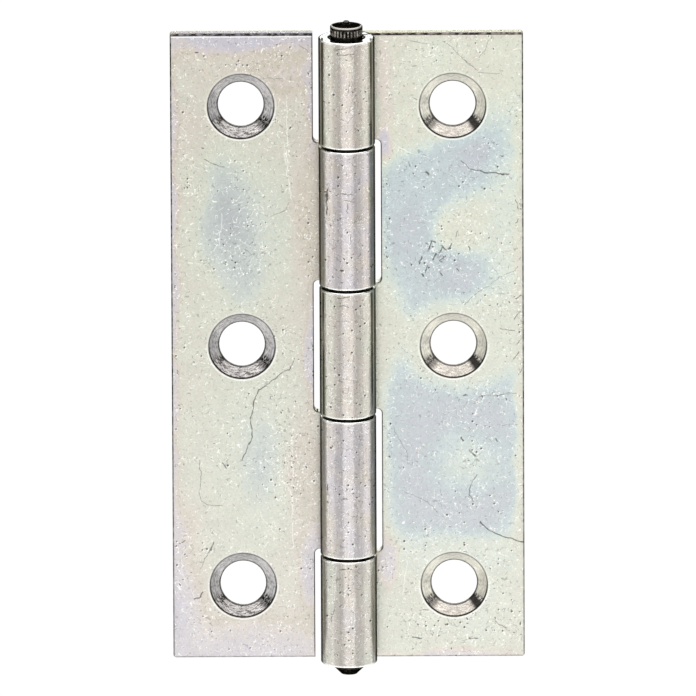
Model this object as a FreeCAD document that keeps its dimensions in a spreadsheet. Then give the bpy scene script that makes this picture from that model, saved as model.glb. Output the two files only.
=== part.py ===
"""Loose-pin butt hinge: two rolled sheet leaves and the pin that joins them.

The hinge lies open and flat. +Z runs up along the pin, +X points across the frame leaf, and the
countersunk faces look along -Y. The origin is on the pin's axis, half-way up the leaves. Both
leaves are the same rolled sheet with different notches, so the door leaf is modelled like the
frame leaf and turned half a turn about Y.
"""
import FreeCAD, Part
import math
import os
import Sketcher
from FreeCAD import Vector

SIZES = (
    ("leaf_height", 75.0, "height of each leaf"),
    ("leaf_reach", 20.5, "from the pin's axis to a leaf's free edge"),
    ("sheet_thickness", 1.5, "steel sheet"),
    ("corner_radius", 0.35, "outer corners of a leaf"),
    ("pin_diameter", 3.5, "plain shank of the pin"),
    ("bore_clearance", 0.03, "radial clearance of the pin in the rolled bore"),
    ("curl_end_angle", 25.0, "where the roll stops short of the leaf, degrees above its plane"),
    ("long_seam_height", 24.6, "outer seams of the barrel, above and below the middle"),
    ("short_seam_height", 7.75, "inner seams of the barrel, above and below the middle"),
    ("knuckle_gap", 0.32, "free play between two knuckles"),
    ("notch_reach", 3.93, "from the pin's axis to the edge of a notch"),
    ("notch_radius", 0.55, "inner corners of a notch"),
    ("edge_radius", 0.15, "rolled-over edges of the sheet"),
    ("mouth_radius", 2.14, "bevelled mouth of the top knuckle"),
    ("screw_diameter", 5.3, "screw holes"),
    ("sink_diameter", 7.85, "countersinks, across the face"),
    ("sink_angle", 90.0, "countersinks, degrees across the cone"),
    ("screw_pitch", 28.8, "from one screw hole to the next"),
    ("screw_reach", 12.3, "from the pin's axis to the screw holes"),
    ("head_diameter", 3.78, "knurled head of the pin"),
    ("head_rise", 1.3, "straight wall of the head above the barrel"),
    ("rim_height", 0.24, "plain rim above the knurl"),
    ("rim_bevel", 0.1, "bevel between the rim and the crown"),
    ("crown_rise", 0.22, "shallow dome on top of the head"),
    ("nub_radius", 0.36, "cut-off nub in the middle of the crown"),
    ("nub_rise", 0.34, "height of the nub above the crown"),
    ("tooth_count", 28, "teeth of the straight knurl"),
    ("tooth_depth", 0.15, "grooves between the teeth"),
    ("tooth_gap", 0.3, "width of a groove at the surface"),
    ("plain_band", 0.36, "height of the head below the knurl, above the barrel"),
    ("tip_drop", 1.42, "how far the pin's tip stands below the barrel"),
    ("tip_radius", 0.95, "flat end of the tip"),
    ("tip_bevel", 0.8, "height of the bevel above the flat end"),
)

BORE_RADIUS = "(sizes.pin_diameter / 2 + sizes.bore_clearance)"
BARREL_RADIUS = f"({BORE_RADIUS} + sizes.sheet_thickness)"
OVERCUT = 1.0
BACK_TANGENT = math.radians(90)
FULL_TURN = 360
TOUCH = 1e-4


def make_sizes(document):
    """The spreadsheet that holds every driving size under its own name."""
    sheet = document.addObject("Spreadsheet::Sheet", "sizes")
    for row, (alias, value, meaning) in enumerate(SIZES, start=1):
        sheet.set(f"A{row}", alias)
        sheet.set(f"B{row}", str(value))
        sheet.setAlias(f"B{row}", alias)
        sheet.set(f"C{row}", meaning)
    document.recompute()
    return sheet


def add_sketch(body, name, role, offset=None):
    """A sketch on one of the body's own origin planes, moved along its normal by a formula."""
    sketch = body.newObject("Sketcher::SketchObject", name)
    plane = next(item for item in body.Origin.OriginFeatures if item.Role == role)
    sketch.AttachmentSupport = [(plane, "")]
    sketch.MapMode = "FlatFace"
    if offset:
        sketch.setExpression("AttachmentOffset.Base.z", offset)
    return sketch


def bind(sketch, constraint, formula=None, name=None):
    """Adds a constraint and, for a dimension, ties it to a formula of the sheet's sizes."""
    index = sketch.addConstraint(constraint)
    if formula:
        sketch.renameConstraint(index, name)
        sketch.setExpression(f"Constraints.{name}", formula)


def place_point(sketch, line, end, name, across, up):
    """Pins one end of a line to formulas for its two coordinates in the sketch."""
    point = sketch.getPoint(line, end)
    bind(sketch, Sketcher.Constraint("DistanceX", -1, 1, line, end, point.x), across, name + "_across")
    bind(sketch, Sketcher.Constraint("DistanceY", -1, 1, line, end, point.y), up, name + "_up")


def close_outline(sketch, points):
    """Draws a closed outline through points and joins its corners; returns the lines' indices."""
    lines = []
    for start, end in zip(points, points[1:] + points[:1]):
        lines.append(sketch.addGeometry(Part.LineSegment(start, end)))
    for before, after in zip(lines, lines[1:] + lines[:1]):
        sketch.addConstraint(Sketcher.Constraint("Coincident", before, 2, after, 1))
    return lines


def roll_radii(sizes):
    """The inner and outer radius of the roll; the leaf's face and back lie at the same distances."""
    inner = sizes.pin_diameter / 2 + sizes.bore_clearance
    return inner, inner + sizes.sheet_thickness


def draw_sheet_section(sketch, sizes):
    """The sheet seen along the pin: a flat leaf whose back runs into a roll around the pin."""
    inner, outer = roll_radii(sizes)
    reach = sizes.leaf_reach
    curl_end = math.radians(FULL_TURN + sizes.curl_end_angle)
    centre = Vector(0, 0, 0)
    normal = Vector(0, 0, 1)
    outer_curl = Part.ArcOfCircle(Part.Circle(centre, normal, outer), BACK_TANGENT, curl_end)
    inner_curl = Part.ArcOfCircle(Part.Circle(centre, normal, inner), BACK_TANGENT, curl_end)
    back = sketch.addGeometry(Part.LineSegment(Vector(reach, outer, 0), outer_curl.StartPoint))
    roll_outside = sketch.addGeometry(outer_curl)
    lip = sketch.addGeometry(Part.LineSegment(outer_curl.EndPoint, inner_curl.EndPoint))
    roll_inside = sketch.addGeometry(inner_curl)
    front = sketch.addGeometry(Part.LineSegment(inner_curl.StartPoint, Vector(reach, inner, 0)))
    free_edge = sketch.addGeometry(Part.LineSegment(Vector(reach, inner, 0), Vector(reach, outer, 0)))
    for constraint in (
        Sketcher.Constraint("Tangent", back, 2, roll_outside, 1),
        Sketcher.Constraint("Coincident", roll_outside, 2, lip, 1),
        Sketcher.Constraint("Coincident", lip, 2, roll_inside, 2),
        Sketcher.Constraint("Tangent", roll_inside, 1, front, 1),
        Sketcher.Constraint("Coincident", front, 2, free_edge, 1),
        Sketcher.Constraint("Coincident", free_edge, 2, back, 1),
        Sketcher.Constraint("Coincident", roll_outside, 3, -1, 1),
        Sketcher.Constraint("Coincident", roll_inside, 3, -1, 1),
        Sketcher.Constraint("Horizontal", back),
        Sketcher.Constraint("Horizontal", front),
        Sketcher.Constraint("Vertical", free_edge),
    ):
        sketch.addConstraint(constraint)
    bind(sketch, Sketcher.Constraint("Radius", roll_outside, outer), BARREL_RADIUS, "barrel_radius")
    bind(sketch, Sketcher.Constraint("Radius", roll_inside, inner), BORE_RADIUS, "bore_radius")
    edge_distance = Sketcher.Constraint("DistanceX", -1, 1, free_edge, 1, reach)
    bind(sketch, edge_distance, "sizes.leaf_reach", "leaf_reach")
    lip_formula = f"{BARREL_RADIUS} * sin(sizes.curl_end_angle * 1 deg)"
    lip_height = outer_curl.EndPoint.y
    bind(sketch, Sketcher.Constraint("DistanceY", -1, 1, lip, 1, lip_height), lip_formula, "lip_outside")
    lip_formula = f"{BORE_RADIUS} * sin(sizes.curl_end_angle * 1 deg)"
    lip_height = inner_curl.EndPoint.y
    bind(sketch, Sketcher.Constraint("DistanceY", -1, 1, lip, 2, lip_height), lip_formula, "lip_inside")


def draw_notch(sketch, number, sizes, span, formulas):
    """One rectangle of the notch sketch, from past the barrel to the notch's edge in the leaf."""
    bottom, top = span
    past_barrel = -(sizes.pin_diameter + sizes.sheet_thickness + OVERCUT)
    edge = sizes.notch_reach
    lines = close_outline(
        sketch,
        [
            Vector(past_barrel, bottom, 0),
            Vector(edge, bottom, 0),
            Vector(edge, top, 0),
            Vector(past_barrel, top, 0),
        ],
    )
    for line, direction in zip(lines, ("Horizontal", "Vertical", "Horizontal", "Vertical")):
        sketch.addConstraint(Sketcher.Constraint(direction, line))
    barrel_side = f"-(sizes.pin_diameter + sizes.sheet_thickness + {OVERCUT})"
    place_point(sketch, lines[0], 1, f"notch_{number}_start", barrel_side, formulas[0])
    place_point(sketch, lines[1], 2, f"notch_{number}_end", "sizes.notch_reach", formulas[1])


def notch_spans(sizes, clears_inner_knuckles):
    """The height ranges, as numbers and as formulas, that a leaf leaves to the other leaf."""
    half_gap = sizes.knuckle_gap / 2
    above_top = sizes.leaf_height / 2 + OVERCUT
    long_seam = sizes.long_seam_height
    short_seam = sizes.short_seam_height
    gap = "sizes.knuckle_gap / 2"
    past_end = f"sizes.leaf_height / 2 + {OVERCUT}"
    if clears_inner_knuckles:
        low, high = short_seam - half_gap, long_seam + half_gap
        low_formula = f"sizes.short_seam_height - {gap}"
        high_formula = f"sizes.long_seam_height + {gap}"
        upper = ((low, high), (low_formula, high_formula))
        lower = ((-high, -low), (f"-({high_formula})", f"-({low_formula})"))
        return [upper, lower]
    low, middle = long_seam - half_gap, short_seam + half_gap
    low_formula = f"sizes.long_seam_height - {gap}"
    middle_formula = f"sizes.short_seam_height + {gap}"
    upper = ((low, above_top), (low_formula, past_end))
    centre = ((-middle, middle), (f"-({middle_formula})", middle_formula))
    lower = ((-above_top, -low), (f"-({past_end})", f"-({low_formula})"))
    return [upper, centre, lower]


def edges_where(feature, wanted):
    """Names of the feature's edges that a test picks out."""
    return [f"Edge{i}" for i, edge in enumerate(feature.Shape.Edges, start=1) if wanted(edge)]


def spans_sheet(edge):
    """True for a straight edge that runs through the sheet from its face to its back."""
    start, end = edge.Vertexes[0].Point, edge.Vertexes[-1].Point
    straight = isinstance(edge.Curve, Part.Line)
    return straight and abs(abs(start.y - end.y) - edge.Length) < TOUCH


def round_edges(body, base, name, edges, formula):
    """A fillet over the named edges of the body's last feature."""
    fillet = body.newObject("PartDesign::Fillet", name)
    fillet.Base = (base, edges)
    fillet.setExpression("Radius", formula)
    body.Document.recompute()
    return fillet


def cut_screw_holes(body, sizes):
    """Three through holes in a row, countersunk from the leaf's face."""
    sketch = add_sketch(body, "screw_places", "XZ_Plane", f"-{BORE_RADIUS}")
    for number in (-1, 0, 1):
        place = Vector(sizes.screw_reach, number * sizes.screw_pitch, 0)
        normal = Vector(0, 0, 1)
        circle = sketch.addGeometry(Part.Circle(place, normal, sizes.screw_diameter / 2))
        name = f"screw_{number + 2}"
        radius = Sketcher.Constraint("Radius", circle, sizes.screw_diameter / 2)
        bind(sketch, radius, "sizes.screw_diameter / 2", name + "_radius")
        across = Sketcher.Constraint("DistanceX", -1, 1, circle, 3, place.x)
        bind(sketch, across, "sizes.screw_reach", name + "_across")
        if number:
            up = Sketcher.Constraint("DistanceY", -1, 1, circle, 3, place.y)
            bind(sketch, up, f"{number} * sizes.screw_pitch", name + "_up")
        else:
            sketch.addConstraint(Sketcher.Constraint("PointOnObject", circle, 3, -1))
    body.Document.recompute()
    hole = body.newObject("PartDesign::Hole", "screw_holes")
    hole.Profile = sketch
    hole.DepthType = "ThroughAll"
    hole.DrillPoint = "Flat"
    hole.HoleCutType = "Countersink"
    hole.HoleCutCustomValues = True
    hole.setExpression("Diameter", "sizes.screw_diameter")
    hole.setExpression("HoleCutDiameter", "sizes.sink_diameter")
    hole.setExpression("HoleCutCountersinkAngle", "sizes.sink_angle")
    body.Document.recompute()
    return hole


def bevel_top_mouth(body, sizes):
    """The bevel where the pin's head sinks into the top knuckle."""
    sketch = add_sketch(body, "mouth_bevel", "XZ_Plane")
    point = sizes.leaf_height / 2 - sizes.mouth_radius
    beyond = sizes.leaf_height / 2 + OVERCUT
    lines = close_outline(
        sketch,
        [
            Vector(0, point, 0),
            Vector(sizes.mouth_radius + OVERCUT, beyond, 0),
            Vector(0, beyond, 0),
        ],
    )
    sketch.addConstraint(Sketcher.Constraint("Horizontal", lines[1]))
    sketch.addConstraint(Sketcher.Constraint("Vertical", lines[2]))
    point_formula = "sizes.leaf_height / 2 - sizes.mouth_radius"
    beyond_formula = f"sizes.leaf_height / 2 + {OVERCUT}"
    rim_formula = f"sizes.mouth_radius + {OVERCUT}"
    place_point(sketch, lines[1], 1, "mouth_rim", rim_formula, beyond_formula)
    sketch.addConstraint(Sketcher.Constraint("PointOnObject", lines[0], 1, -2))
    height = Sketcher.Constraint("DistanceY", -1, 1, lines[0], 1, point)
    bind(sketch, height, point_formula, "mouth_point")
    groove = body.newObject("PartDesign::Groove", "top_mouth")
    groove.Profile = sketch
    groove.ReferenceAxis = (sketch, ["V_Axis"])
    groove.Angle = FULL_TURN
    body.Document.recompute()
    return groove


def make_leaf(document, name, sizes, clears_inner_knuckles):
    """A leaf and its knuckles, rolled from one sheet, with the leaf on the +X side."""
    body = document.addObject("PartDesign::Body", name)
    body.Label = name
    section = add_sketch(body, "sheet_section", "XY_Plane")
    draw_sheet_section(section, sizes)
    rolled = body.newObject("PartDesign::Pad", "rolled_sheet")
    rolled.Profile = section
    rolled.SideType = "Symmetric"
    rolled.setExpression("Length", "sizes.leaf_height")
    document.recompute()

    notch_sketch = add_sketch(body, "notch_outlines", "XZ_Plane")
    for number, (span, formulas) in enumerate(notch_spans(sizes, clears_inner_knuckles), start=1):
        draw_notch(notch_sketch, number, sizes, span, formulas)
    notches = body.newObject("PartDesign::Pocket", "notches")
    notches.Profile = notch_sketch
    notches.Type = "ThroughAll"
    notches.SideType = "Symmetric"
    document.recompute()

    if clears_inner_knuckles:
        bevel_top_mouth(body, sizes)
    feature = cut_screw_holes(body, sizes)
    inner, outer = roll_radii(sizes)

    def leaf_corner(edge):
        return spans_sheet(edge) and edge.CenterOfMass.x > sizes.leaf_reach - TOUCH

    def notch_corner(edge):
        at_notch = abs(edge.CenterOfMass.x - sizes.notch_reach) < TOUCH
        inside = abs(edge.CenterOfMass.z) < sizes.leaf_height / 2 - TOUCH
        return spans_sheet(edge) and at_notch and inside

    corners = edges_where(feature, leaf_corner)
    feature = round_edges(body, feature, "leaf_corners", corners, "sizes.corner_radius")
    corners = edges_where(feature, notch_corner)
    feature = round_edges(body, feature, "notch_corners", corners, "sizes.notch_radius")

    def knuckle_end(edge):
        if not isinstance(edge.Curve, Part.Circle):
            return False
        along_pin = abs(edge.Curve.Axis.z) > 1 - TOUCH
        return along_pin and abs(edge.Curve.Radius - outer) < TOUCH

    def face_edge(edge):
        straight = isinstance(edge.Curve, Part.Line)
        return straight and all(abs(vertex.Y - inner) < TOUCH for vertex in edge.Vertexes)

    edges = edges_where(feature, lambda edge: knuckle_end(edge) or face_edge(edge))
    feature = round_edges(body, feature, "rolled_over_edges", edges, "sizes.edge_radius")
    body.Tip = feature
    document.recompute()
    return body


def draw_pin_section(sketch, sizes):
    """Half of the pin's outline: bevelled tip, shank, seat, knurled head, crown and nub."""
    barrel_top = sizes.leaf_height / 2
    shank = sizes.pin_diameter / 2
    head = sizes.head_diameter / 2
    tip_end = -barrel_top - sizes.tip_drop
    seat_low = barrel_top - (sizes.mouth_radius - shank - sizes.bore_clearance)
    seat_high = seat_low + head - shank
    wall_top = barrel_top + sizes.head_rise
    rim_inside = head - sizes.rim_bevel
    crown_edge = wall_top + sizes.rim_bevel
    dome = (rim_inside**2 + sizes.crown_rise**2) / (2 * sizes.crown_rise)
    dome_centre = crown_edge + sizes.crown_rise - dome
    start_angle = math.acos(rim_inside / dome)
    end_angle = math.acos(sizes.nub_radius / dome)
    circle = Part.Circle(Vector(0, dome_centre, 0), Vector(0, 0, 1), dome)
    crown = Part.ArcOfCircle(circle, start_angle, end_angle)
    nub_top = crown_edge + sizes.crown_rise + sizes.nub_rise
    nub_flat = sizes.nub_radius - sizes.rim_bevel

    below = [
        Vector(0, tip_end, 0),
        Vector(sizes.tip_radius, tip_end, 0),
        Vector(shank, tip_end + sizes.tip_bevel, 0),
        Vector(shank, seat_low, 0),
        Vector(head, seat_high, 0),
        Vector(head, wall_top, 0),
        crown.StartPoint,
    ]
    above = [
        crown.EndPoint,
        Vector(sizes.nub_radius, nub_top - sizes.rim_bevel, 0),
        Vector(nub_flat, nub_top, 0),
        Vector(0, nub_top, 0),
        Vector(0, tip_end, 0),
    ]
    tip, bevel, side, seat, wall, rim = (
        sketch.addGeometry(Part.LineSegment(start, end)) for start, end in zip(below, below[1:])
    )
    dome_arc = sketch.addGeometry(crown)
    nub_side, nub_edge, nub_end, axis_line = (
        sketch.addGeometry(Part.LineSegment(start, end)) for start, end in zip(above, above[1:])
    )
    for before, after in ((tip, bevel), (bevel, side), (side, seat), (seat, wall), (wall, rim)):
        sketch.addConstraint(Sketcher.Constraint("Coincident", before, 2, after, 1))
    for before, after in ((nub_side, nub_edge), (nub_edge, nub_end), (nub_end, axis_line)):
        sketch.addConstraint(Sketcher.Constraint("Coincident", before, 2, after, 1))
    sketch.addConstraint(Sketcher.Constraint("Coincident", rim, 2, dome_arc, 1))
    sketch.addConstraint(Sketcher.Constraint("Coincident", dome_arc, 2, nub_side, 1))
    sketch.addConstraint(Sketcher.Constraint("Coincident", axis_line, 2, tip, 1))
    for line in (tip, nub_end):
        sketch.addConstraint(Sketcher.Constraint("Horizontal", line))
    for line in (side, wall, nub_side, axis_line):
        sketch.addConstraint(Sketcher.Constraint("Vertical", line))
    sketch.addConstraint(Sketcher.Constraint("PointOnObject", tip, 1, -2))
    sketch.addConstraint(Sketcher.Constraint("PointOnObject", dome_arc, 3, -2))

    top = "sizes.leaf_height / 2"
    shank_formula = "sizes.pin_diameter / 2"
    head_formula = "sizes.head_diameter / 2"
    tip_formula = f"-{top} - sizes.tip_drop"
    seat_formula = f"{top} + {BORE_RADIUS} - sizes.mouth_radius"
    seat_top_formula = f"{seat_formula} + {head_formula} - {shank_formula}"
    wall_formula = f"{top} + sizes.head_rise"
    crown_formula = f"{wall_formula} + sizes.rim_bevel"
    nub_formula = f"{crown_formula} + sizes.crown_rise + sizes.nub_rise"
    rim_formula = f"{head_formula} - sizes.rim_bevel"
    dome_formula = f"(({rim_formula})^2 + sizes.crown_rise^2) / (2 * sizes.crown_rise)"
    place_point(sketch, tip, 2, "tip_end", "sizes.tip_radius", tip_formula)
    place_point(sketch, bevel, 2, "shank_end", shank_formula, f"{tip_formula} + sizes.tip_bevel")
    place_point(sketch, seat, 2, "seat_end", head_formula, seat_top_formula)
    place_point(sketch, rim, 2, "rim_end", rim_formula, crown_formula)
    place_point(sketch, nub_edge, 2, "nub_end", "sizes.nub_radius - sizes.rim_bevel", nub_formula)
    for line, end, name, formula in (
        (side, 2, "seat_start", seat_formula),
        (wall, 2, "wall_end", wall_formula),
        (nub_side, 2, "nub_side_end", f"{nub_formula} - sizes.rim_bevel"),
    ):
        height = sketch.getPoint(line, end).y
        bind(sketch, Sketcher.Constraint("DistanceY", -1, 1, line, end, height), formula, name)
    nub_place = Sketcher.Constraint("DistanceX", -1, 1, nub_side, 1, sizes.nub_radius)
    bind(sketch, nub_place, "sizes.nub_radius", "nub_radius")
    bind(sketch, Sketcher.Constraint("Radius", dome_arc, dome), dome_formula, "dome_radius")


def cut_knurl(body, sizes):
    """One V groove down the side of the head, repeated all the way round it."""
    from_top = "sizes.leaf_height / 2 + sizes.head_rise - sizes.rim_height"
    sketch = add_sketch(body, "knurl_groove", "XY_Plane", from_top)
    head = sizes.head_diameter / 2
    floor = head - sizes.tooth_depth
    mouth = head + sizes.tooth_depth
    lines = close_outline(
        sketch,
        [Vector(floor, 0, 0), Vector(mouth, -sizes.tooth_gap, 0), Vector(mouth, sizes.tooth_gap, 0)],
    )
    mouth_formula = "sizes.head_diameter / 2 + sizes.tooth_depth"
    floor_formula = "sizes.head_diameter / 2 - sizes.tooth_depth"
    place_point(sketch, lines[1], 1, "groove_right", mouth_formula, "-sizes.tooth_gap")
    place_point(sketch, lines[1], 2, "groove_left", mouth_formula, "sizes.tooth_gap")
    sketch.addConstraint(Sketcher.Constraint("PointOnObject", lines[0], 1, -1))
    depth = Sketcher.Constraint("DistanceX", -1, 1, lines[0], 1, floor)
    bind(sketch, depth, floor_formula, "groove_floor")
    groove = body.newObject("PartDesign::Pocket", "knurl_tooth_gap")
    groove.Profile = sketch
    groove.setExpression("Length", "sizes.head_rise - sizes.rim_height - sizes.plain_band")
    body.Document.recompute()
    pattern = body.newObject("PartDesign::PolarPattern", "knurl")
    pattern.Originals = [groove]
    axis = next(item for item in body.Origin.OriginFeatures if item.Role == "Z_Axis")
    pattern.Axis = (axis, [""])
    pattern.Angle = FULL_TURN
    pattern.setExpression("Occurrences", "sizes.tooth_count")
    body.Tip = pattern
    body.Document.recompute()
    return pattern


def make_pin(document, name, sizes):
    """The loose pin, seated with its shoulder in the top knuckle's mouth."""
    body = document.addObject("PartDesign::Body", name)
    body.Label = name
    section = add_sketch(body, "pin_section", "XZ_Plane")
    draw_pin_section(section, sizes)
    turned = body.newObject("PartDesign::Revolution", "turned_pin")
    turned.Profile = section
    turned.ReferenceAxis = (section, ["V_Axis"])
    turned.Angle = FULL_TURN
    document.recompute()
    cut_knurl(body, sizes)
    return body


def check_document(document):
    """Stops if any feature failed, any sketch is loose or any cut took nothing away."""
    for item in document.Objects:
        if "Invalid" in item.State or "Error" in item.State:
            raise RuntimeError(f"{item.Label} failed: {item.State}")
        if item.TypeId == "Sketcher::SketchObject" and (item.solve() != 0 or not item.FullyConstrained):
            raise RuntimeError(f"{item.Label} is loose or does not solve")
        if item.TypeId in ("PartDesign::Pocket", "PartDesign::Groove", "PartDesign::Hole"):
            if item.Shape.Volume > item.BaseFeature.Shape.Volume - TOUCH:
                raise RuntimeError(f"{item.Label} cut nothing")


def write_parts(bodies):
    """Writes each finished body to its own STEP file, once all of them are sound."""
    for body in bodies:
        if body.Shape.isNull() or not body.Shape.isValid() or len(body.Shape.Solids) != 1:
            raise RuntimeError(f"{body.Label} is not one sound solid")
    os.makedirs("parts", exist_ok=True)
    for body in bodies:
        body.Shape.exportStep(os.path.join("parts", body.Label + ".step"))
        print(f"{body.Label}: {body.Shape.Volume:.1f} mm3 in {len(body.Shape.Faces)} faces")


DOCUMENT = FreeCAD.newDocument("loose_pin_butt_hinge")
SHEET = make_sizes(DOCUMENT)
FRAME_LEAF = make_leaf(DOCUMENT, "frame_leaf", SHEET, clears_inner_knuckles=True)
DOOR_LEAF = make_leaf(DOCUMENT, "door_leaf", SHEET, clears_inner_knuckles=False)
DOOR_LEAF.Placement = FreeCAD.Placement(Vector(0, 0, 0), FreeCAD.Rotation(Vector(0, 1, 0), 180))
HINGE_PIN = make_pin(DOCUMENT, "hinge_pin", SHEET)
DOCUMENT.recompute()
check_document(DOCUMENT)
write_parts([FRAME_LEAF, DOOR_LEAF, HINGE_PIN])
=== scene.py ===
"""Studio scene of a zinc-plated loose-pin butt hinge, standing open and flat.

Lengths in the materials are millimetres in the hinge's own frame: x across the leaves, z up along
the pin, and y from the countersunk faces to the backs. Everything else is in metres.
"""
import math

import bpy
from mathutils import Color, Euler, Matrix, Vector


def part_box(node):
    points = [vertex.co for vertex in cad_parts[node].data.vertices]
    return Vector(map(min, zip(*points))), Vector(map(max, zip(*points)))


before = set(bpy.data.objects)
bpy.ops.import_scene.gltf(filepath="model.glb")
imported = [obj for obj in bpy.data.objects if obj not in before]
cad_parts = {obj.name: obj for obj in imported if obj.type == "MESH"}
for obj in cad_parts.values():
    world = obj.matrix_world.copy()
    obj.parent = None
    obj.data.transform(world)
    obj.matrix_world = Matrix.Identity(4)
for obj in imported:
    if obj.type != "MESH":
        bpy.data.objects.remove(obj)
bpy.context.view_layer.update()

MM = 1000.0
LEAF_LOW, LEAF_HIGH = (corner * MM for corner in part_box("frame_leaf"))
PIN_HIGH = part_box("hinge_pin")[1] * MM

SHEET = 1.5
REACH = LEAF_HIGH.x
HALF_HEIGHT = LEAF_HIGH.z
BACK = LEAF_HIGH.y
FACE = BACK - SHEET
BARREL_RADIUS = -LEAF_LOW.y
SCREW_REACH = 12.3
SCREW_PITCH = 28.8
SINK_RADIUS = 3.925
HOLE_RADIUS = 2.65
MOUTH_RADIUS = 2.14
LONG_SEAM = 24.6
SHORT_SEAM = 7.75
HEAD_RADIUS = PIN_HIGH.x

NICK_CELL = (0.5, 0.5)
DASH_CELL = (1.0, 0.42)
BOLD_WIDTH = 0.1
FILM_GAIN = 1.1


def tint(code, gain=1.0):
    """A linear colour from its usual six-digit name."""
    channels = [int(code[i:i + 2], 16) / 255 for i in (0, 2, 4)]
    colour = Color(channels).from_srgb_to_scene_linear()
    return tuple(channel * gain for channel in colour)


def paint(code, gain=1.0):
    """The same colour with full opacity, as the shaders' sockets want it."""
    return (*tint(code, gain), 1.0)


# The dark line colour also paints shade, and the bright metal colour also paints highlights.
DARK_LINE = paint("2c2a28")
BRIGHT_METAL_AND_HIGHLIGHT = paint("fbfaf6", 1.15)


# ---------------------------------------------------------------- node helpers


class Graph:
    """A node tree with short calls that each add a node and return its output socket."""

    def __init__(self, tree):
        self.tree = tree

    def node(self, kind, *inputs, **settings):
        made = self.tree.nodes.new(kind)
        for name, value in settings.items():
            setattr(made, name, value)
        for socket, value in zip(made.inputs, inputs):
            self.feed(socket, value)
        return made

    def feed(self, socket, value):
        if isinstance(value, bpy.types.NodeSocket):
            self.tree.links.new(value, socket)
        elif value is not None:
            socket.default_value = value

    def math(self, operation, *inputs):
        return self.node("ShaderNodeMath", *inputs, operation=operation).outputs[0]

    def add(self, first, second):
        return self.math("ADD", first, second)

    def subtract(self, first, second):
        return self.math("SUBTRACT", first, second)

    def multiply(self, first, second):
        return self.math("MULTIPLY", first, second)

    def absolute(self, value):
        return self.math("ABSOLUTE", value)

    def invert(self, value):
        return self.math("SUBTRACT", 1.0, value)

    def vector(self, operation, *inputs):
        return self.node("ShaderNodeVectorMath", *inputs, operation=operation).outputs[0]

    def length(self, vector):
        return self.node("ShaderNodeVectorMath", vector, operation="LENGTH").outputs["Value"]

    def dot(self, vector, direction):
        made = self.node("ShaderNodeVectorMath", vector, direction, operation="DOT_PRODUCT")
        return made.outputs["Value"]

    def scale(self, vector, factor):
        made = self.node("ShaderNodeVectorMath", vector, operation="SCALE")
        self.feed(made.inputs["Scale"], factor)
        return made.outputs[0]

    def join(self, x=0.0, y=0.0, z=0.0):
        return self.node("ShaderNodeCombineXYZ", x, y, z).outputs[0]

    def split(self, vector):
        return self.node("ShaderNodeSeparateXYZ", vector).outputs

    def flatten(self, vector):
        """The vector without its y part."""
        return self.vector("MULTIPLY", vector, (1.0, 0.0, 1.0))

    def smooth(self, value, start, end, low=0.0, high=1.0):
        """Goes smoothly from low to high while value goes from start to end."""
        made = self.node("ShaderNodeMapRange", value, start, end, low, high)
        made.interpolation_type = "SMOOTHSTEP"
        return made.outputs[0]

    def band(self, value, centre, half_width, soft):
        """1 where value is within half_width of centre, and 0 beyond a soft edge."""
        away = self.absolute(self.subtract(value, centre))
        return self.smooth(away, half_width + soft, half_width)

    def mix(self, share, first, second):
        """Mixes two colours."""
        made = self.node("ShaderNodeMix", data_type="RGBA")
        for index, value in zip((0, 6, 7), (share, first, second)):
            self.feed(made.inputs[index], value)
        return made.outputs[2]

    def blend(self, share, first, second):
        """Mixes two numbers."""
        made = self.node("ShaderNodeMix", data_type="FLOAT")
        for index, value in zip((0, 2, 3), (share, first, second)):
            self.feed(made.inputs[index], value)
        return made.outputs[0]

    def noise(self, place, scale, detail=2.0, roughness=0.5):
        made = self.node("ShaderNodeTexNoise", place)
        made.inputs["Scale"].default_value = scale
        made.inputs["Detail"].default_value = detail
        made.inputs["Roughness"].default_value = roughness
        return made.outputs

    def shades(self, colour):
        """A colour's three channels."""
        return self.node("ShaderNodeSeparateColor", colour).outputs

    def drift(self, place, scale, detail, reach):
        """The place, moved about by a noise by up to half of reach."""
        red, green, blue = self.shades(self.noise(place, scale, detail)["Color"])
        offset = self.vector("SUBTRACT", self.join(red, green, blue), (0.5, 0.5, 0.5))
        return self.vector("ADD", place, self.scale(offset, reach))

    def ramp(self, value, stops):
        made = self.node("ShaderNodeValToRGB", value)
        elements = made.color_ramp.elements
        elements.remove(elements[1])
        elements[0].position = stops[0][0]
        elements[0].color = (*stops[0][1], 1.0)
        for position, colour in stops[1:]:
            elements.new(position).color = (*colour, 1.0)
        return made.outputs[0]


class Shader(Graph):
    """A material with a metallic Principled shader, and the hinge's coordinates in millimetres."""

    def __init__(self, name):
        self.material = bpy.data.materials.new(name)
        self.material.use_nodes = True
        super().__init__(self.material.node_tree)
        self.inputs = self.tree.nodes["Principled BSDF"].inputs
        self.inputs["Metallic"].default_value = 1.0
        coordinates = self.node("ShaderNodeTexCoord").outputs
        self.place = self.scale(coordinates["Object"], MM)
        self.x, self.y, self.z = self.split(self.place)
        self.normal = self.split(coordinates["Normal"])

    def finish(self, colour, roughness, height, depth):
        """Plugs the surface in; a height of 1 stands depth millimetres proud."""
        self.feed(self.inputs["Base Color"], colour)
        self.feed(self.inputs["Roughness"], roughness)
        bump = self.node("ShaderNodeBump")
        bump.inputs["Strength"].default_value = 1.0
        bump.inputs["Distance"].default_value = depth / MM
        self.feed(bump.inputs["Height"], height)
        self.feed(self.inputs["Normal"], bump.outputs[0])
        return self.material


# ------------------------------------------------------- details of the finish

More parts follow.
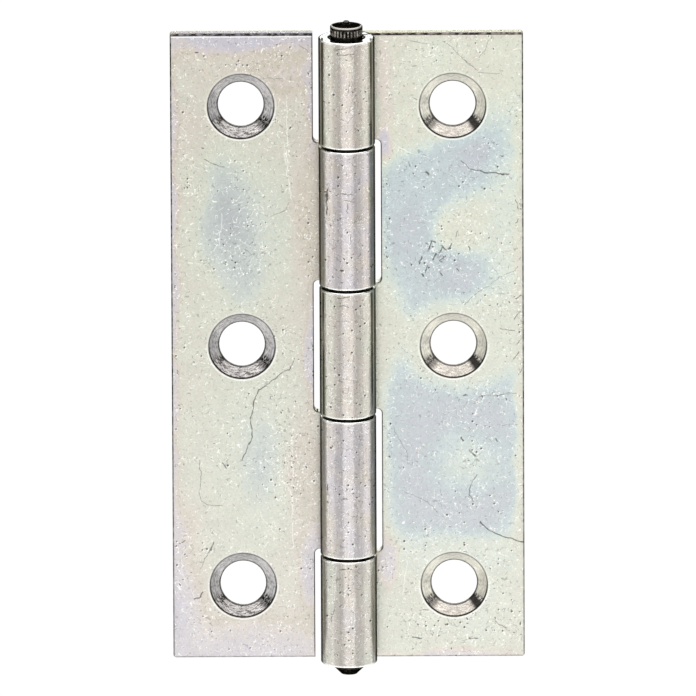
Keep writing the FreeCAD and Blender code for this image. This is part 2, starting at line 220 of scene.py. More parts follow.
# The film's colours by order: the frame leaf's turns blue at the end, the door leaf's goes grey.
FRAME_FILM = (
    (0.00, "d6d3dc"),
    (0.14, "e0d9da"),
    (0.28, "e6ddd2"),
    (0.42, "e2dfd1"),
    (0.55, "e2e5d5"),
    (0.66, "dfe6db"),
    (0.76, "d6e1dc"),
    (0.86, "c9d6d8"),
    (0.95, "c8cfd3"),
    (1.00, "cacdd6"),
)
DOOR_FILM = (
    (0.00, "d6d3dc"),
    (0.14, "e0d9da"),
    (0.23, "e4dbd3"),
    (0.28, "dad3c3"),
    (0.34, "e4dcd0"),
    (0.42, "e2dfd1"),
    (0.55, "e2e5d5"),
    (0.66, "dce2d8"),
    (0.80, "cfd7d4"),
    (1.00, "c0c4c6"),
)


def within(shader, place, centre, half, tilt=0.0):
    """Coordinates across the leaf counted from a centre, in units of two half sizes, tilted."""
    turn = math.radians(tilt)
    along = Vector((math.cos(turn), 0, math.sin(turn))) / half[0]
    across = Vector((-math.sin(turn), 0, math.cos(turn))) / half[1]
    offset = shader.vector("SUBTRACT", place, (centre[0], 0, centre[1]))
    return shader.join(shader.dot(offset, along), 0.0, shader.dot(offset, across))


def stain(shader, place, film, spot):
    """Pulls the film towards one order inside a soft ellipse or rounded box."""
    centre, half, tilt, soft, order, boxy = spot
    reach = within(shader, place, centre, half, tilt)
    if boxy:
        distance = shader.math("SQRT", shader.length(shader.vector("MULTIPLY", reach, reach)))
    else:
        distance = shader.length(reach)
    return shader.blend(shader.smooth(distance, 1 + soft, 1 - soft), film, order)


def film_order(shader, places, resting, spots):
    """The passivated zinc's film as a soft field of orders, with the face's own spots."""
    place = shader.drift(shader.place, 0.22, 2.0, 2.6)
    cloud = shader.noise(shader.place, 0.12, 4.0, 0.55)[0]
    plain = shader.add(shader.smooth(cloud, 0.25, 0.75, -0.09, 0.09), resting)
    film = plain
    for spot in spots:
        film = stain(shader, place, film, spot)
    film = shader.blend(places.front, plain, film)
    grain = shader.noise(shader.place, 1.7, 3.0, 0.6)[0]
    return shader.add(film, shader.smooth(grain, 0.2, 0.8, -0.07, 0.07))


def stroke(shader, place, points, width):
    """A scratch along a few points, as a mask."""
    nearest = None
    for start, end in zip(points, points[1:]):
        step = Vector((end[0] - start[0], 0, end[1] - start[1]))
        offset = shader.vector("SUBTRACT", place, (start[0], 0, start[1]))
        along = shader.dot(offset, step / step.length_squared)
        foot = shader.scale(step, shader.node("ShaderNodeClamp", along).outputs[0])
        distance = shader.length(shader.vector("SUBTRACT", offset, foot))
        nearest = distance if nearest is None else shader.math("MINIMUM", nearest, distance)
    return shader.smooth(nearest, width, width * 0.2)


def scratches(shader, strokes):
    """All of a leaf's single scratches and painted highlight lines, wandering and fading in and out; thin
    ones are faint.
    """
    place = shader.flatten(shader.drift(shader.place, 0.9, 3.0, 0.8))
    mask = 0.0
    for width, points in strokes:
        line = shader.multiply(stroke(shader, place, points, width), min(1.0, width / BOLD_WIDTH))
        mask = shader.math("MAXIMUM", mask, line)
    fade = shader.smooth(shader.noise(shader.place, 2.2, 2.0)[0], 0.33, 0.5, 0.5, 1.0)
    return shader.multiply(mask, fade)


def crowding(shader, places, patches):
    """How thick the small marks lie: a slow field, thicker on the barrel and in worn patches."""
    slow = shader.noise(shader.place, 0.25, 2.0)[0]
    crowd = shader.smooth(slow, 0.4, 0.62, 0.2, 0.78)
    crowd = shader.math("MAXIMUM", crowd, shader.multiply(places.barrel, 0.8))
    for centre, half in patches:
        reach = shader.length(within(shader, shader.place, centre, half))
        crowd = shader.math("MAXIMUM", crowd, shader.smooth(reach, 1.3, 0.6))
    return crowd


def flecks(shader, crowd, cell, turn, size, share, seed, slip=0.0):
    """Scattered small marks in cells of a length and width, turned; slip moves them all."""
    local = within(shader, shader.place, (seed + slip, -seed - slip), cell, turn)
    cells = shader.node("ShaderNodeTexVoronoi", local)
    cells.inputs["Scale"].default_value = 1.0
    chance = shader.add(shader.shades(cells.outputs["Color"])[0], shader.multiply(crowd, share))
    radius = shader.smooth(chance, 1.0, 1.0 + 0.8 * share, 0.0, size)
    return shader.smooth(shader.subtract(cells.outputs["Distance"], radius), 0.0, -0.3 * size)


def crackle(shader, crowd, scale, seed):
    """Short curved lines, finer than the scratches."""
    place = shader.vector("ADD", shader.place, (seed, 0.0, 2 * seed))
    line = shader.absolute(shader.subtract(shader.noise(place, scale, 1.0)[0], 0.5))
    broken = shader.add(shader.noise(place, 1.7 * scale, 1.0)[0], shader.multiply(crowd, 0.12))
    return shader.multiply(shader.smooth(line, 0.026, 0.006), shader.smooth(broken, 0.58, 0.63))


class Places:
    """Masks for the regions of a leaf, from its coordinates."""

    def __init__(self, shader):
        self.across = shader.absolute(shader.x)
        self.around = shader.length(shader.join(shader.x, shader.y))
        self.barrel = shader.smooth(self.around, BARREL_RADIUS + 0.1, BARREL_RADIUS + 0.02)
        self.front = shader.smooth(shader.y, BACK - 0.3, BACK - 0.9)
        self.off_x = shader.subtract(self.across, SCREW_REACH)
        self.off_z = shader.math("WRAP", shader.z, SCREW_PITCH / 2, -SCREW_PITCH / 2)
        self.radius = shader.length(shader.join(self.off_x, self.off_z))
        in_hole = shader.smooth(self.radius, SINK_RADIUS + 0.06, SINK_RADIUS - 0.02)
        self.sink = shader.multiply(in_hole, shader.smooth(shader.y, BACK - 0.05, BACK - 0.15))
        self.plain = shader.invert(shader.math("MAXIMUM", self.barrel, self.sink))
        sheet_edge = shader.math("MAXIMUM", self.find_rounded(shader), self.find_rim(shader))
        on_end = self.find_barrel_end(shader)
        barrel_edge_shade = self.find_barrel_edge_shade(shader, on_end)
        # corner: dark lines along the sheet's edges, and painted shade round the barrel's top end.
        self.corner = shader.math("MAXIMUM", sheet_edge, barrel_edge_shade)
        self.top_face_highlight = shader.multiply(on_end, shader.smooth(shader.normal[2], 0.9, 0.97))
        # Painted highlight: a light line just below the door leaf's top edge.
        self.top_edge_highlight = shader.multiply(shader.band(shader.z, HALF_HEIGHT - 0.38, 0.03, 0.06), self.plain)
        self.top_edge_highlight = shader.multiply(self.top_edge_highlight, shader.smooth(shader.x, 0.0, -1.0))
        upright = shader.smooth(shader.absolute(shader.normal[0]), 0.9, 0.97)
        self.sheared = shader.multiply(upright, shader.smooth(self.across, REACH - 0.1, REACH - 0.02))
        self.roll_dark, self.side_highlight_line = self.find_side_shine_lines(shader)
        self.crevice_shade = self.find_crevice_shade(shader)
        self.knuckle_rim_highlight = self.find_knuckle_rim_highlights(shader)

    def find_rounded(self, shader):
        """The sheet's rolled-over edges, neither face nor side."""
        flatness = shader.absolute(shader.normal[1])
        off_face = shader.smooth(flatness, 0.96, 0.75)
        rounded = shader.multiply(off_face, shader.smooth(flatness, 0.1, 0.4))
        return shader.multiply(rounded, self.plain)

    def find_rim(self, shader):
        """A narrow strip of the face along the sheet's outer edge, foot and top."""
        to_side = shader.subtract(REACH, self.across)
        to_foot = shader.add(shader.z, HALF_HEIGHT)
        to_top = shader.subtract(HALF_HEIGHT - 0.1, shader.z)
        to_end = shader.math("MINIMUM", to_foot, to_top)
        rim = shader.smooth(shader.math("MINIMUM", to_side, to_end), 0.2, 0.12)
        rim = shader.multiply(rim, shader.smooth(shader.y, FACE + 0.3, FACE + 0.15))
        return shader.multiply(rim, shader.invert(self.barrel))

    def find_barrel_end(self, shader):
        """The top end of the barrel."""
        at_top = shader.smooth(shader.z, HALF_HEIGHT - 0.25, HALF_HEIGHT - 0.1)
        return shader.multiply(at_top, self.barrel)

    def find_barrel_edge_shade(self, shader, on_end):
        """Painted shade along the outer edge of the barrel's top end, at its sides and back, and round
        the mouth that the pin sits in.
        """
        outer = shader.smooth(self.around, BARREL_RADIUS - 0.24, BARREL_RADIUS - 0.14)
        outer = shader.multiply(on_end, outer)
        outer = shader.multiply(outer, shader.smooth(shader.y, -1.8, -0.6))
        mouth = shader.multiply(on_end, shader.smooth(self.around, MOUTH_RADIUS + 0.16, MOUTH_RADIUS))
        return shader.math("MAXIMUM", outer, mouth)

    def find_crevice_shade(self, shader):
        """Painted shade on the sides of the barrel, where it turns in towards the sheet."""
        inward = shader.smooth(shader.y, -1.8, -0.5)
        inward = shader.multiply(inward, shader.smooth(shader.y, BACK - 0.9, BACK - 1.5))
        standing = shader.smooth(shader.absolute(shader.normal[2]), 0.95, 0.8)
        outside = shader.smooth(self.across, 1.9, 2.5)
        return shader.multiply(shader.multiply(inward, self.barrel), shader.multiply(standing, outside))

    def find_side_shine_lines(self, shader):
        """A painted shade line and a painted highlight line down both sides of the barrel's front."""
        front = shader.multiply(self.barrel, shader.smooth(shader.y, 0.0, -0.5))
        slow = shader.smooth(shader.noise(shader.place, 0.14, 2.0)[0], 0.3, 0.5)
        fade = shader.multiply(front, slow)
        fade = shader.multiply(fade, shader.smooth(shader.z, -HALF_HEIGHT, -SHORT_SEAM, 0.4, 1.0))
        dark = shader.multiply(shader.band(self.across, BARREL_RADIUS - 0.46, 0.07, 0.08), fade)
        light = shader.multiply(shader.band(self.across, BARREL_RADIUS - 0.27, 0.02, 0.05), fade)
        return dark, light

    def find_knuckle_rim_highlights(self, shader):
        """Painted highlights in narrow bands along the knuckles' ends."""
        height = shader.absolute(shader.z)
        to_long = shader.absolute(shader.subtract(height, LONG_SEAM))
        to_short = shader.absolute(shader.subtract(height, SHORT_SEAM))
        to_seam = shader.math("MINIMUM", to_long, to_short)
        to_seam = shader.math("MINIMUM", to_seam, shader.subtract(HALF_HEIGHT + 0.16, height))
        return shader.multiply(shader.band(to_seam, 0.3, 0.06, 0.1), self.barrel)


def film_colour(shader, places, finish):
    """The colour of the plated sheet: leaf, roll, slow mottling and fine grain."""
    film = film_order(shader, places, finish["resting"], finish["spots"])
    in_front, at_side = finish["knuckle_film"]
    side = shader.math("DIVIDE", places.across, BARREL_RADIUS)
    rolled = shader.blend(shader.smooth(side, 0.1, 0.75), in_front, at_side)
    cloud = shader.noise(shader.place, 0.3, 3.0)[0]
    rolled = shader.add(rolled, shader.smooth(cloud, 0.3, 0.7, -0.08, 0.08))
    film = shader.blend(places.barrel, film, rolled)
    stops = [(order, tint(code, FILM_GAIN)) for order, code in finish["film"]]
    colour = shader.ramp(film, stops)
    # Painted light: the sheet is lighter and whiter towards the foot; the brightness pair sets how bright
    # it is at the top and at the foot.
    low = shader.smooth(shader.z, HALF_HEIGHT, -HALF_HEIGHT)
    colour = shader.mix(shader.multiply(low, 0.22), colour, paint("f2f0ee", 1.1))
    slow = shader.smooth(shader.noise(shader.place, 0.5, 4.0, 0.6)[0], 0.3, 0.7, 0.97, 1.03)
    above, below = finish["brightness"]
    value = shader.multiply(slow, shader.blend(low, above, below))
    value = shader.multiply(value, shader.blend(places.barrel, 1.0, finish["knuckle_gain"]))
    return shader.scale(colour, value)


def worn_marks_and_highlights(shader, places, crowd, strokes):
    """Masks for the light marks and for the dark ones; beside the nicks and dashes stand lighter copies,
    slipped aside, painted highlights of their relief.
    """
    light = flecks(shader, crowd, (0.44, 0.34), 20, 0.32, 0.5, 11.0)
    light = shader.math("MAXIMUM", light, flecks(shader, crowd, (0.9, 0.38), 62, 0.21, 0.36, 3.0))
    # Lighter copies of the nicks and dashes, slipped 0.1 mm aside, are painted highlights of their
    # relief.
    light = shader.math("MAXIMUM", light, flecks(shader, crowd, NICK_CELL, 0, 0.32, 0.42, 5.0, 0.1))
    light = shader.math("MAXIMUM", light, flecks(shader, crowd, DASH_CELL, -52, 0.22, 0.36, 31.0, 0.1))
    light = shader.math("MAXIMUM", light, crackle(shader, crowd, 1.5, 7.0))
    light = shader.math("MAXIMUM", light, shader.multiply(scratches(shader, strokes[0]), places.front))
    dark = flecks(shader, crowd, NICK_CELL, 0, 0.32, 0.42, 5.0)
    dark = shader.math("MAXIMUM", dark, flecks(shader, crowd, DASH_CELL, -52, 0.22, 0.36, 31.0))
    dark = shader.math("MAXIMUM", dark, flecks(shader, crowd, (0.8, 0.34), -10, 0.2, 0.36, 23.0))
    dark = shader.math("MAXIMUM", dark, shader.multiply(crackle(shader, crowd, 1.3, 19.0), 0.45))
    dark = shader.math("MAXIMUM", dark, shader.multiply(scratches(shader, strokes[1]), places.front))
    return light, dark


def machined_rings(shader, places):
    """The cutter's marks round a countersink: long along the circle, short across it."""
    turned = shader.join(
        shader.multiply(places.radius, 9.0),
        shader.multiply(shader.math("DIVIDE", places.off_x, places.radius), 7.0),
        shader.multiply(shader.math("DIVIDE", places.off_z, places.radius), 7.0),
    )
    return shader.smooth(shader.noise(shader.drift(turned, 0.3, 2.0, 3.0), 1.0, 3.0, 0.65)[0], 0.36, 0.64)


def cut_colour(shader, places, rings, finish):
    """A countersink: even above, torn below, painted lighter at its sides, with painted shade in dark
    wedges low on either side.
    """
    down = shader.math("DIVIDE", places.off_z, places.radius)
    torn = shader.smooth(down, -0.40, -0.52)
    even = shader.mix(rings, *finish["sink_even"])
    rough = shader.mix(shader.smooth(rings, 0.1, 0.6), *finish["sink_torn"])
    colour = shader.mix(torn, even, rough)
    # Painted light: each sink is lighter towards its left and right sides.
    colour = shader.scale(colour, shader.smooth(shader.absolute(places.off_x), 0.5, 3.2, 0.93, 1.45))
    # Painted shade: dark wedges low on either side of the sink.
    streaked_shade = shader.multiply(shader.band(down, -0.57, 0.06, 0.12), shader.smooth(rings, 1.0, 0.5))
    streaked_shade = shader.multiply(streaked_shade, shader.smooth(places.off_x, -0.8, 0.8, *finish["flank_shade_strength"]))
    solid_shade = shader.band(down, -0.66, 0.06, 0.12)
    solid_shade = shader.multiply(solid_shade, shader.smooth(places.off_x, -0.8, 0.8, *finish["solid_shade_strength"]))
    flank_shade = shader.math("MAXIMUM", streaked_shade, solid_shade)
    return shader.mix(flank_shade, colour, paint("100e0e")), torn


def sink_lines(shader, places, colour):
    """Dark lines round a countersink's mouth and throat, and a painted highlight on the lip below the
    mouth.
    """
    below = shader.smooth(places.off_z, 1.5, -2.0)
    mouth = shader.band(places.radius, SINK_RADIUS - 0.07, 0.06, 0.05)
    mouth = shader.multiply(mouth, shader.blend(below, 0.6, 1.0))
    throat = shader.multiply(shader.band(places.radius, HOLE_RADIUS + 0.07, 0.06, 0.05), 0.8)
    line = shader.multiply(shader.math("MAXIMUM", mouth, throat), places.sink)
    colour = shader.mix(line, colour, DARK_LINE)
    # Painted highlight: a bright band just outside the mouth, strongest below.
    lip = shader.band(places.radius, SINK_RADIUS + 0.14, 0.05, 0.08)
    lip = shader.multiply(shader.multiply(lip, places.front), shader.blend(below, 0.15, 0.5))
    return shader.mix(lip, colour, BRIGHT_METAL_AND_HIGHLIGHT)


def add_marks(shader, places, colour, finish):
    """Draws the worn marks and their painted highlights, the painted shade and highlight lines down the
    barrel's sides, and the painted highlights along the top edge and the knuckle ends over the colour.
    """
    crowd = crowding(shader, places, finish["patches"])
    light, dark = worn_marks_and_highlights(shader, places, crowd, finish["strokes"])
    painted_side_lines = finish["painted_side_lines"]
    # Painted shade line down the barrel's sides.
    dark = shader.math("MAXIMUM", dark, shader.multiply(places.roll_dark, painted_side_lines))
    colour = shader.mix(shader.multiply(dark, 0.85), colour, paint("403e39"))
    light = shader.multiply(light, shader.invert(dark))
    # Painted highlights: the line below the top edge and the bands along the knuckle ends.
    light = shader.math("MAXIMUM", light, shader.math("MAXIMUM", places.top_edge_highlight, places.knuckle_rim_highlight))
    # Painted highlight line down the barrel's sides.
    light = shader.math("MAXIMUM", light, shader.multiply(places.side_highlight_line, painted_side_lines))
    return shader.mix(shader.multiply(light, 0.75), colour, BRIGHT_METAL_AND_HIGHLIGHT)


def add_edges(shader, places, colour):
    """Darkens narrow lines along the sheet's edges, paints shade round the barrel's top end and in the
    barrel's crevices, and bares the steel where it was sheared.
    """
    worn = shader.smooth(shader.noise(shader.place, 1.6, 2.0)[0], 0.35, 0.6, 0.7, 1.0)
    worn = shader.multiply(worn, shader.smooth(shader.z, -HALF_HEIGHT, 0, 0.7, 1.0))
    # The dark edge lines and the painted shade round the barrel's top end; worn sets how dark they are,
    # patchy and stronger towards the top.
    colour = shader.mix(shader.multiply(places.corner, worn), colour, DARK_LINE)
    # Painted shade in the crevices where the barrel turns in towards the sheet.
    colour = shader.mix(shader.multiply(places.crevice_shade, 0.8), colour, DARK_LINE)
    shear_marks = shader.join(0.0, shader.multiply(shader.y, 0.8), shader.multiply(shader.z, 6.0))
    shear_marks = shader.smooth(shader.noise(shear_marks, 1.0, 3.0)[0], 0.3, 0.7)
    edge = shader.mix(shear_marks, paint("7d7b76"), paint("a9a7a1"))
    return shader.mix(places.sheared, colour, edge)


def leaf_roughness(shader, places, grain, torn):
    """Satin sheet, a polished barrel and top, cut sinks and dull sheared edges."""
    roughness = shader.blend(places.barrel, 0.36, 0.12)
    roughness = shader.blend(places.sink, roughness, shader.blend(torn, 0.18, 0.28))
    roughness = shader.add(roughness, shader.blend(grain, 0.03, -0.03))
    roughness = shader.blend(shader.smooth(shader.normal[2], 0.9, 0.97), roughness, 0.1)
    return shader.blend(places.sheared, roughness, 0.55)


def zinc_leaf(name, finish):
    """Bright zinc plate with a thin iridescent film, worn, scratched and countersunk, with painted
    highlights and painted shade.
    """
    shader = Shader(name)
    shader.inputs["Specular Tint"].default_value = paint("5a5e5a")
    places = Places(shader)
    colour = film_colour(shader, places, finish)
    grain = shader.smooth(shader.noise(shader.place, 4.0, 3.0, 0.7)[0], 0.25, 0.75)
    upright = shader.join(shader.multiply(shader.x, 3.5), 0.0, shader.multiply(shader.z, 0.25))
    streaks = shader.smooth(shader.noise(upright, 1.0, 3.0)[0], 0.3, 0.7, 0.93, 1.07)
    colour = shader.scale(colour, shader.blend(places.barrel, shader.blend(grain, 0.93, 1.06), streaks))
    # Painted highlight: the barrel's top end is painted near-white.
    colour = shader.mix(places.top_face_highlight, colour, paint("f4f4f4"))
    colour = add_marks(shader, places, colour, finish)

    rings = machined_rings(shader, places)
    cut, torn = cut_colour(shader, places, rings, finish)
    colour = shader.mix(places.sink, colour, cut)
    colour = sink_lines(shader, places, colour)
    colour = add_edges(shader, places, colour)

    shader.feed(shader.inputs["Metallic"], shader.blend(places.sink, 1.0, 0.45))
    roughness = leaf_roughness(shader, places, grain, torn)
    height = shader.multiply(grain, shader.invert(places.sink))
    cutting = shader.multiply(shader.multiply(rings, places.sink), shader.blend(torn, 0.4, 3.0))
    return shader.finish(colour, roughness, shader.add(height, cutting), 0.008)


# Each spot: centre, half sizes, tilt, softness, film order, whether it is boxy.
FRAME_SPOTS = (
    ((17.0, 27.0), (4.0, 2.6), 0, 0.8, 0.68, False),
    ((11.5, 20.4), (8.4, 3.9), 22, 0.55, 0.88, True),
    ((15.6, 22.6), (3.0, 2.2), 10, 0.9, 0.98, False),
    ((7.3, 13.4), (3.2, 7.2), 8, 0.5, 0.88, True),
    ((7.4, 12.4), (1.7, 4.6), 8, 0.9, 0.97, False),
    ((12.0, 7.4), (5.6, 4.8), -12, 0.5, 0.90, True),
    ((13.4, 7.4), (3.0, 2.4), -25, 0.9, 0.96, False),
    ((18.6, 15.0), (2.6, 6.5), 0, 0.8, 0.64, False),
    ((13.4, 14.0), (2.3, 1.7), 10, 0.9, 0.50, False),
    ((12.3, -11.6), (7.9, 12.0), 0, 0.16, 0.87, True),
    ((9.6, -14.0), (3.6, 8.6), 0, 0.6, 0.97, True),
    ((15.4, -9.4), (4.0, 3.4), 0, 0.7, 0.96, False),
    ((15.0, -19.5), (4.2, 3.0), 0, 0.7, 0.96, False),
    ((13.6, -14.0), (3.6, 3.0), 0, 0.9, 0.72, False),
    ((12.6, 0.2), (5.6, 5.2), 0, 0.35, 0.52, False),
    ((17.0, 1.5), (3.5, 5.2), 0, 0.5, 0.56, False),
    ((13.0, -25.6), (8.5, 2.6), 0, 0.6, 0.62, False),
    ((4.3, 31.0), (0.8, 7.0), 0, 0.8, 0.28, False),
    ((4.2, 24.5), (1.0, 1.6), 0, 0.6, 0.05, False),
    ((4.4, -26.0), (1.2, 3.0), 0, 0.6, 0.12, False),
    ((20.9, -2.0), (1.4, 38.0), 0, 0.4, 0.46, False),
    ((12.0, -38.0), (12.0, 1.3), 0, 0.5, 0.15, False),
    ((12.0, 37.9), (12.0, 0.9), 0, 0.5, 0.20, False),
)
DOOR_SPOTS = (
    ((-12.0, 14.0), (6.6, 9.6), 0, 0.7, 0.62, False),
    ((-13.7, 15.0), (2.2, 5.2), 4, 1.0, 0.94, False),
    ((-12.4, 8.4), (2.0, 3.2), 0, 1.0, 0.80, False),
    ((-13.6, -12.0), (6.5, 11.0), 0, 0.6, 0.52, False),
    ((-10.2, -14.2), (3.6, 9.0), 0, 0.9, 0.60, False),
    ((-10.3, -13.8), (1.7, 3.8), 0, 1.0, 0.77, False),
    ((-11.5, 38.2), (10.5, 3.0), 0, 0.5, 0.0, False),
    ((-7.0, 32.5), (6.0, 2.2), 0, 0.9, 0.24, False),
    ((-4.7, 14.8), (1.8, 7.8), 0, 0.7, 0.28, False),
    ((-4.7, -16.0), (2.1, 8.0), 0, 0.6, 0.28, False),
    ((-12.0, -39.6), (11.5, 6.6), 0, 0.7, 0.06, False),
    ((-20.6, -31.0), (2.6, 9.5), 0, 0.9, 0.03, False),
    ((-20.7, 8.0), (0.9, 34.0), 0, 0.6, 0.10, False),
    ((-3.9, -27.0), (1.6, 4.6), 0, 0.6, 0.06, False),
    ((-3.9, 30.0), (0.9, 7.0), 0, 0.6, 0.12, False),
    ((-3.9, 0.0), (1.0, 7.0), 0, 0.6, 0.08, False),
)

# Each worn patch: centre, half sizes.
FRAME_PATCHES = (
    ((10.6, 10.8), (2.8, 2.4)),
    ((14.4, -12.4), (1.6, 3.0)),
    ((16.6, -6.3), (4.0, 0.8)),
    ((20.1, 1.0), (0.5, 5.5)),
    ((20.0, 16.5), (0.4, 1.4)),
    ((18.2, -33.6), (2.6, 3.0)),
    ((10.0, -33.5), (6.5, 1.8)),
    ((8.2, -22.5), (1.6, 1.6)),
    ((7.6, -35.4), (1.6, 0.8)),
    ((14.6, -35.4), (1.4, 0.6)),
    ((4.7, 14.0), (0.4, 7.0)),
    ((4.8, -14.0), (0.5, 8.0)),
    ((17.0, -26.0), (2.4, 1.6)),
    ((0.2, -32.6), (0.9, 4.4)),
)
DOOR_PATCHES = (
    ((-7.0, -14.0), (3.6, 6.0)),
    ((-4.3, 12.6), (0.9, 5.0)),
    ((-12.6, 10.6), (4.0, 2.6)),
    ((-6.9, 23.5), (0.5, 6.0)),
    ((-19.2, 18.6), (0.8, 1.0)),
    ((-19.4, -25.0), (1.0, 4.0)),
    ((-14.2, -14.4), (1.4, 0.8)),
    ((-4.0, -17.5), (0.5, 5.0)),
    ((-4.4, 31.0), (0.5, 6.0)),
)

# Each scratch or painted highlight line: width, points.
FRAME_LIGHT = (
    (0.09, ((6.1, 23.9), (7.5, 23.1), (9.5, 22.6))),
    (0.07, ((0.8, 36.4), (0.8, 33.2))),
    (0.07, ((6.2, -30.0), (6.8, -26.0))),
    (0.06, ((8.0, -26.8), (8.6, -30.6), (10.6, -32.6))),
    (0.06, ((15.6, 24.6), (18.6, 23.6))),
    (0.07, ((-0.9, 28.1), (-0.1, 28.1))),
    (0.08, ((-0.7, 37.4), (-0.6, 34.6))),
    # The upright lines at x -2.45 to -2.62 are painted highlights down the barrel, not scratches.
    (0.08, ((-2.62, 37.1), (-2.62, 26.5))),
    (0.08, ((-2.45, 6.6), (-2.45, -6.4))),
    (0.07, ((0.9, 2.8), (0.8, -3.2))),
    (0.08, ((2.5, 6.1), (2.5, 1.1))),
    (0.09, ((-1.4, -25.4), (-1.8, -29.3))),
    (0.08, ((0.6, -29.2), (0.5, -35.6))),
    (0.07, ((-1.0, 6.4), (0.0, 6.4))),
)
FRAME_DARK = (
    (0.07, ((11.3, 36.5), (12.6, 35.3), (13.5, 34.3), (14.4, 33.7), (15.2, 32.9))),
    (0.06, ((12.8, 36.3), (13.0, 35.0))),
    (0.06, ((16.8, 37.2), (16.3, 36.0), (15.4, 34.6))),
    (0.07, ((15.2, 32.7), (17.8, 32.6))),
    (0.06, ((7.0, 36.8), (9.8, 36.2))),
    (0.09, ((7.6, 33.5), (8.0, 33.6))),
    (0.08, ((7.6, 29.8), (8.2, 29.5))),
    (0.06, ((7.0, 23.2), (8.2, 22.9), (9.2, 22.8))),
    (0.09, ((13.2, 22.2), (14.1, 21.3), (15.5, 20.8))),
    (0.13, ((15.4, 20.8), (18.7, 20.6))),
    (0.22, ((9.2, 20.8), (9.5, 20.6))),
    (0.07, ((7.2, 22.2), (7.3, 21.6))),
    (0.07, ((6.4, 19.8), (6.6, 19.8))),
    (0.09, ((9.0, 12.4), (9.3, 12.3))),
    (0.10, ((9.8, 12.5), (10.2, 12.3))),
    (0.10, ((10.9, 12.0), (11.6, 11.5))),
    (0.10, ((11.8, 11.6), (12.1, 12.3))),
    (0.09, ((12.5, 13.1), (12.9, 13.7))),
    (0.13, ((9.9, 10.2), (10.3, 11.0))),
    (0.11, ((8.3, 9.8), (8.6, 10.6))),
    (0.11, ((10.8, 10.2), (11.3, 10.9))),
    (0.13, ((8.6, 8.6), (8.9, 8.3))),
    (0.12, ((10.7, 8.9), (11.0, 8.6))),
    (0.13, ((12.7, 9.3), (12.9, 9.0))),
    (0.10, ((9.3, 11.4), (9.9, 12.4))),
    (0.12, ((10.6, 11.2), (11.0, 11.8))),
    (0.11, ((9.0, 8.9), (9.2, 9.6))),
    (0.10, ((14.0, 11.9), (14.3, 11.4))),
    (0.06, ((13.6, 4.8), (15.2, 6.4), (17.8, 8.2), (19.9, 9.4))),
    (0.08, ((17.7, 2.0), (18.6, 1.9), (19.4, 1.8))),
    (0.09, ((19.6, 5.6), (20.1, 6.0))),
    (0.09, ((19.4, 3.2), (20.0, 4.0))),
    (0.08, ((19.7, 0.2), (20.2, 0.9))),
    (0.09, ((19.3, -1.6), (19.9, -0.8))),
    (0.08, ((19.8, -3.6), (20.2, -3.0))),
    (0.08, ((19.5, 14.6), (20.0, 15.3))),
    (0.09, ((19.5, 17.4), (19.9, 16.4))),
    (0.17, ((13.4, -6.1), (13.7, -6.0))),
    (0.07, ((15.2, -6.1), (19.6, -5.8))),
    (0.06, ((17.2, -9.6), (19.8, -9.6))),
    (0.16, ((13.2, -11.1), (13.4, -11.5))),
    (0.18, ((14.2, -12.7), (14.8, -13.4))),
    (0.11, ((17.2, -11.2), (17.5, -11.5))),
    (0.08, ((14.9, -15.5), (14.2, -17.0), (14.1, -18.0), (14.6, -18.9))),
    (0.06, ((5.2, -9.6), (6.4, -12.4), (7.0, -13.0), (6.9, -14.2))),
    (0.06, ((6.3, -17.4), (9.1, -18.8), (10.4, -20.0))),
    (0.11, ((15.4, -21.3), (16.4, -22.3), (18.2, -23.1), (20.4, -23.7))),
    (0.12, ((7.4, -35.1), (8.3, -35.3))),
    (0.13, ((14.0, -35.2), (15.0, -35.4))),
    (0.08, ((8.2, -31.9), (9.3, -31.9))),
    (0.08, ((5.2, -27.0), (5.4, -26.9))),
    (0.08, ((12.8, -32.0), (14.6, -31.8))),
    (0.09, ((17.0, -33.3), (18.2, -34.2))),
    (0.08, ((-1.3, 36.8), (0.5, 36.9))),
    (0.08, ((-1.0, 36.2), (0.9, 36.3))),
    (0.08, ((0.3, 33.0), (0.3, 31.7))),
    (0.09, ((-1.1, 7.1), (0.2, 7.1))),
    (0.09, ((-0.9, 6.1), (0.0, 6.1))),
    (0.09, ((-1.0, -25.5), (0.4, -25.6))),
    (0.08, ((-1.6, -30.3), (-2.0, -32.1))),
)
DOOR_LIGHT = (
    (0.07, ((-6.9, 30.0), (-7.0, 26.0), (-6.7, 23.0))),
    (0.08, ((-7.0, 23.5), (-6.9, 20.5), (-6.4, 17.6))),
    (0.06, ((-7.3, 24.5), (-7.1, 21.5))),
    (0.07, ((-6.5, -10.0), (-6.5, -17.0))),
    (0.08, ((-6.6, -17.4), (-6.5, -24.4))),
    (0.06, ((-18.4, -23.4), (-19.5, -25.5), (-19.2, -28.2), (-18.0, -30.2))),
    (0.07, ((-14.6, 16.0), (-14.9, 12.0))),
    (0.07, ((-8.5, -22.5), (-10.5, -20.0))),
    # The upright lines at x -2.4 to -2.6, here and below, are painted highlights down the barrel, not
    # scratches.
    (0.09, ((-2.55, 19.9), (-2.6, 16.1))),
    (0.07, ((-2.4, 16.0), (-2.4, 9.2))),
    (0.07, ((0.3, 14.8), (0.1, 11.2))),
    (0.07, ((-2.4, -9.4), (-2.4, -19.4))),
    (0.07, ((-0.6, -11.2), (-0.5, -16.6))),
)
